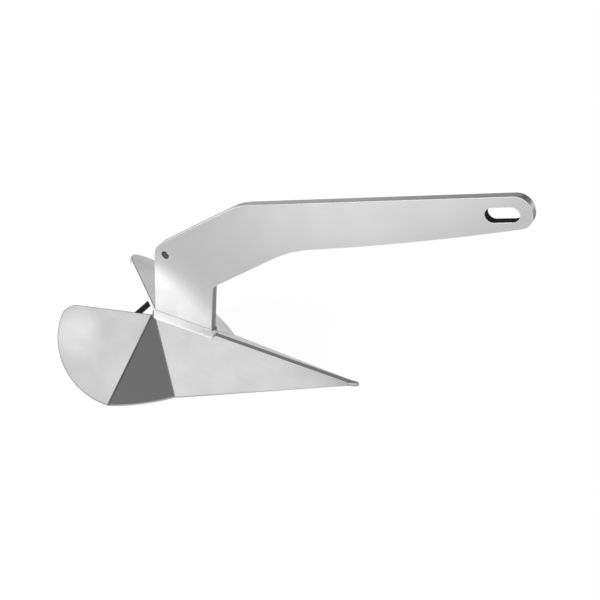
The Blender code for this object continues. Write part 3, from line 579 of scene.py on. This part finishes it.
def finish_of(face):
    """Number of the finish: 0 polished, 1 laser cut, 2 drilled, 3 edge with painted highlight, 4
    dark grey with painted shade.
    """
    sideways = abs(face.normal.y)
    middle = face.calc_center_median()
    middle.y = 0.0
    if sideways < WALL_FACING:
        if (middle - SLOT_CENTRE).length < SLOT_REACH:
            return 1
        if (middle - HOLE_CENTRE).length < HOLE_REACH:
            return 2
        return 4 if face.normal.x > FRONT_FACING and middle.x < 0.0 else 0
    return 3 if sideways < SIDE_FACING else 0


bm = merged_copy("shank")
for face in bm.faces:
    face.material_index = finish_of(face)
mesh = mesh_of(bm, "shank", SHANK, CUT_WALL, DRILLED, PAINTED_EDGE_HIGHLIGHT, DARK_GREY_EDGE)
shank = put_in_scene("shank_polished", mesh, "plate_steel", "shank")
print("shank faces:", len(shank.data.polygons))

# %% [markdown]
# ## Dressed welds
# The welds that show, along the ridge, at the nose and round the shank's foot, have been
# ground and polished, so they are merged and shaded smooth like the plates. The point is
# rough and painted a darker grey, painted shade at the tip. The two runs along the sides of
# the foot were dressed with a round-nosed stone, which leaves a slight hollow: their faces
# are let in by up to a millimetre and a half between their toes. The hollow turns up
# towards the plate, where it catches the window.
# Their rear ends take the same darker grey as the foot's front edge.
# Their rear ends, which the stone hardly reaches, stay duller.

# %% Dressed welds
RIDGE_AXIS = Vector((0.9662, 0.0, -0.2578))
RIDGE_UP = Vector((0.2578, 0.0, 0.9662))
RUN_TOP = 33.4 * MM
RUN_DEPTH = 15.6 * MM
RUN_REAR = -273.8 * MM
RUN_FRONT = -170.8 * MM
RUN_END_ROUND = 4.0 * MM
HOLLOW = 1.45 * MM
SHANK_SKIN = 6.2 * MM


def hollowed(bm):
    """A foot weld's run with its bulging face ground hollow between its toes."""
    for vert in bm.verts:
        down = (RUN_TOP - vert.co.dot(RIDGE_UP)) / RUN_DEPTH
        along = vert.co.dot(RIDGE_AXIS)
        past_the_end = max(RUN_REAR - along, along - RUN_FRONT, 0.0) / RUN_END_ROUND
        share = max(1.0 - past_the_end ** 2, 0.0) ** 0.5
        if abs(vert.co.y) > SHANK_SKIN and 0.0 < down < 1.0:
            let_in = HOLLOW * 4 * down * (1 - down) * share
            vert.co.y -= let_in if vert.co.y > 0 else -let_in
    return bm


for node in ("ridge_weld", "foot_weld_front", "foot_weld_rear", "nose_weld"):
    finish = POINT if node == "nose_weld" else DRESSED
    mesh = mesh_of(merged_copy(node), node, finish)
    weld = put_in_scene(node + "_polished", mesh, "dressed_weld", node)
    print(node, "faces:", len(weld.data.polygons))
for node in ("foot_weld_starboard", "foot_weld_port"):
    bm = hollowed(merged_copy(node))
    for face in bm.faces:
        if face.calc_center_median().dot(RIDGE_AXIS) < RUN_REAR:
            face.material_index = 1
    mesh = mesh_of(bm, node, BUFFED, DARK_GREY_EDGE)
    weld = put_in_scene(node + "_polished", mesh, "dressed_weld", node)
    print(node, "faces:", len(weld.data.polygons))

# %% [markdown]
# ## Welds left as laid
#
# Inside the fluke nobody grinds the welds. A bead laid by hand is a row of ripples, one
# for each time the pool of metal moved on, curved because the middle of the pool runs
# ahead of its sides. Geometry Nodes suit it: a tube follows the path of the weld, and
# each point of its skin is pushed out by a saw-tooth of its distance along the path, with
# the phase shifted round the tube. The path is all that changes from weld to weld.

# %% Node tree for a rippled bead
POINTS_PER_RIPPLE = 6.0
RING_POINTS = 20
BOW_OF_RIPPLE = 0.35


def bead_tree():
    """Node tree that sweeps a rippled tube along the edges of a mesh."""
    tree = bpy.data.node_groups.new("rippled_bead", "GeometryNodeTree")
    tree.interface.new_socket("Path", in_out="INPUT", socket_type="NodeSocketGeometry")
    for name in ("Radius", "Pitch", "Ripple"):
        tree.interface.new_socket(name, in_out="INPUT", socket_type="NodeSocketFloat")
    tree.interface.new_socket("Finish", in_out="INPUT", socket_type="NodeSocketMaterial")
    tree.interface.new_socket("Bead", in_out="OUTPUT", socket_type="NodeSocketGeometry")
    given = add(tree, "NodeGroupInput").outputs
    path = add(tree, "GeometryNodeMeshToCurve", {"Mesh": given["Path"]})
    spacing = add(tree, "ShaderNodeMath", {0: given["Pitch"], 1: POINTS_PER_RIPPLE},
                  operation="DIVIDE")
    path = add(tree, "GeometryNodeResampleCurve", {
        "Curve": path.outputs[0], "Length": spacing.outputs[0]}, mode="LENGTH")
    along = add(tree, "GeometryNodeSplineParameter").outputs["Length"]
    marked = add(tree, "GeometryNodeCaptureAttribute", {"Geometry": path.outputs[0]})
    marked.capture_items.new("FLOAT", "Along")
    tree.links.new(along, marked.inputs["Along"])
    ring = add(tree, "GeometryNodeCurvePrimitiveCircle", {"Resolution": RING_POINTS,
                                                          "Radius": given["Radius"]})
    turn = add(tree, "GeometryNodeSplineParameter").outputs["Factor"]
    ring_marked = add(tree, "GeometryNodeCaptureAttribute", {"Geometry": ring.outputs["Curve"]})
    ring_marked.capture_items.new("FLOAT", "Turn")
    tree.links.new(turn, ring_marked.inputs["Turn"])
    tube = add(tree, "GeometryNodeCurveToMesh", {
        "Curve": marked.outputs["Geometry"], "Profile Curve": ring_marked.outputs["Geometry"],
        "Fill Caps": True})
    angle = add(tree, "ShaderNodeMath", {0: ring_marked.outputs["Turn"], 1: 4 * pi},
                operation="MULTIPLY")
    bow = add(tree, "ShaderNodeMath", {0: angle.outputs[0]}, operation="COSINE")
    steps = add(tree, "ShaderNodeMath", {0: marked.outputs["Along"], 1: given["Pitch"]},
                operation="DIVIDE")
    phase = add(tree, "ShaderNodeMath", {0: bow.outputs[0], 1: BOW_OF_RIPPLE, 2: steps.outputs[0]},
                operation="MULTIPLY_ADD")
    saw = add(tree, "ShaderNodeMath", {0: phase.outputs[0]}, operation="FRACT")
    push = add(tree, "ShaderNodeMath", {0: saw.outputs[0], 1: given["Ripple"]},
               operation="MULTIPLY")
    outward = add(tree, "GeometryNodeInputNormal").outputs[0]
    offset = add(tree, "ShaderNodeVectorMath", {0: outward, "Scale": push.outputs[0]},
                 operation="SCALE")
    rippled = add(tree, "GeometryNodeSetPosition", {"Geometry": tube.outputs[0],
                                                    "Offset": offset.outputs[0]})
    whole = add(tree, "GeometryNodeRealizeInstances", {"Geometry": rippled.outputs[0]})
    done = add(tree, "GeometryNodeSetMaterial", {
        "Geometry": whole.outputs[0], "Material": given["Finish"]})
    add(tree, "NodeGroupOutput", {"Bead": done.outputs[0]})
    return tree


BEAD = bead_tree()
print("bead tree nodes:", len(BEAD.nodes))

# %% [markdown]
# ### Laying the beads
#
# A straight fillet is a long prism with three long edges, so its bead runs along the line
# midway between them. The fillet ring at each end of the tie bar is a ring of points, and
# its bead follows their average at each angle about the bar.

# %% Beads
BEAD_PITCH = 3.4 * MM
BEAD_RIPPLE = 0.45 * MM
FILLET_RADIUS = 2.3 * MM
ROOT_RADIUS = 2.9 * MM
RING_RADIUS = 2.1 * MM
RING_STEPS = 40
RING_SHARE = 0.12


def lay_bead(node, points, closed, radius):
    """Rippled bead along a line of points, standing for its solid."""
    count = len(points)
    edges = [(i, (i + 1) % count) for i in range(count if closed else count - 1)]
    line = bpy.data.meshes.new("path")
    line.from_pydata(points, edges, [])
    values = {"Radius": radius, "Pitch": BEAD_PITCH, "Ripple": BEAD_RIPPLE, "Finish": AS_LAID}

    def set_the_tree(step):
        step.node_group = BEAD
        for socket in BEAD.interface.items_tree:
            if socket.in_out == "INPUT" and socket.name in values:
                step[socket.identifier] = values[socket.name]

    mesh = evaluated(line, "NODES", set_the_tree)
    bead = put_in_scene(node + "_bead", mesh, "inner_weld", node)
    print(node, "bead faces:", len(bead.data.polygons))


def middle_line(node):
    """Line midway between the three long edges of a straight fillet."""
    bm = merged_copy(node)
    long_edges = sorted(bm.edges, key=lambda edge: -edge.calc_length())[:3]
    along = (long_edges[0].verts[1].co - long_edges[0].verts[0].co).normalized()
    ends = []
    for pick in (min, max):
        ends.append(sum((pick((v.co for v in edge.verts), key=along.dot) for edge in long_edges),
                        Vector()) / 3)
    bm.free()
    return ends


for node in ("cover_weld_starboard", "cover_weld_port", "bulkhead_weld_starboard",
             "bulkhead_weld_port", "ridge_root_weld"):
    radius = ROOT_RADIUS if node == "ridge_root_weld" else FILLET_RADIUS
    lay_bead(node, middle_line(node), False, radius)

# %% Bead rings round the tie bar
def ring_line(node):
    """Average of a fillet ring's corners at each angle about the tie bar."""
    low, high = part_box("tie_bar")
    axis = (low + high) / 2
    bm = merged_copy(node)
    corners = [v.co.copy() for v in bm.verts]
    bm.free()
    line = []
    for i in range(RING_STEPS):
        facing = Vector((cos(2 * pi * i / RING_STEPS), 0.0, sin(2 * pi * i / RING_STEPS)))
        beside = []
        for corner in corners:
            outward = Vector((corner.x - axis.x, 0.0, corner.z - axis.z)).normalized()
            if (outward - facing).length < RING_SHARE:
                beside.append(corner)
        line.append(sum(beside, Vector()) / len(beside))
    return line


for side in ("starboard", "port"):
    node = "tie_bar_weld_" + side
    lay_bead(node, ring_line(node), True, RING_RADIUS)

# %% [markdown]
# ## Tie bar and the ballast's box
#
# The bar is a plain drawn rod. The cover and the bulkhead close the hollow nose, and are
# seen only from below; the lead is sealed in behind them. Their solids have their true
# shapes, so each is merged, shaded and given its finish.

# %% Bar, cover, bulkhead and ballast
for node, material, slot in (("tie_bar", NEAR_BLACK_BAR, "bar_steel"),
                             ("ballast_cover", PLATE, "plate_steel"),
                             ("ballast_bulkhead", PLATE, "plate_steel"),
                             ("nose_ballast", LEAD, "lead")):
    mesh = mesh_of(merged_copy(node), node, material)
    piece = put_in_scene(node + "_finished", mesh, slot, node)
    print(node, "faces:", len(piece.data.polygons))
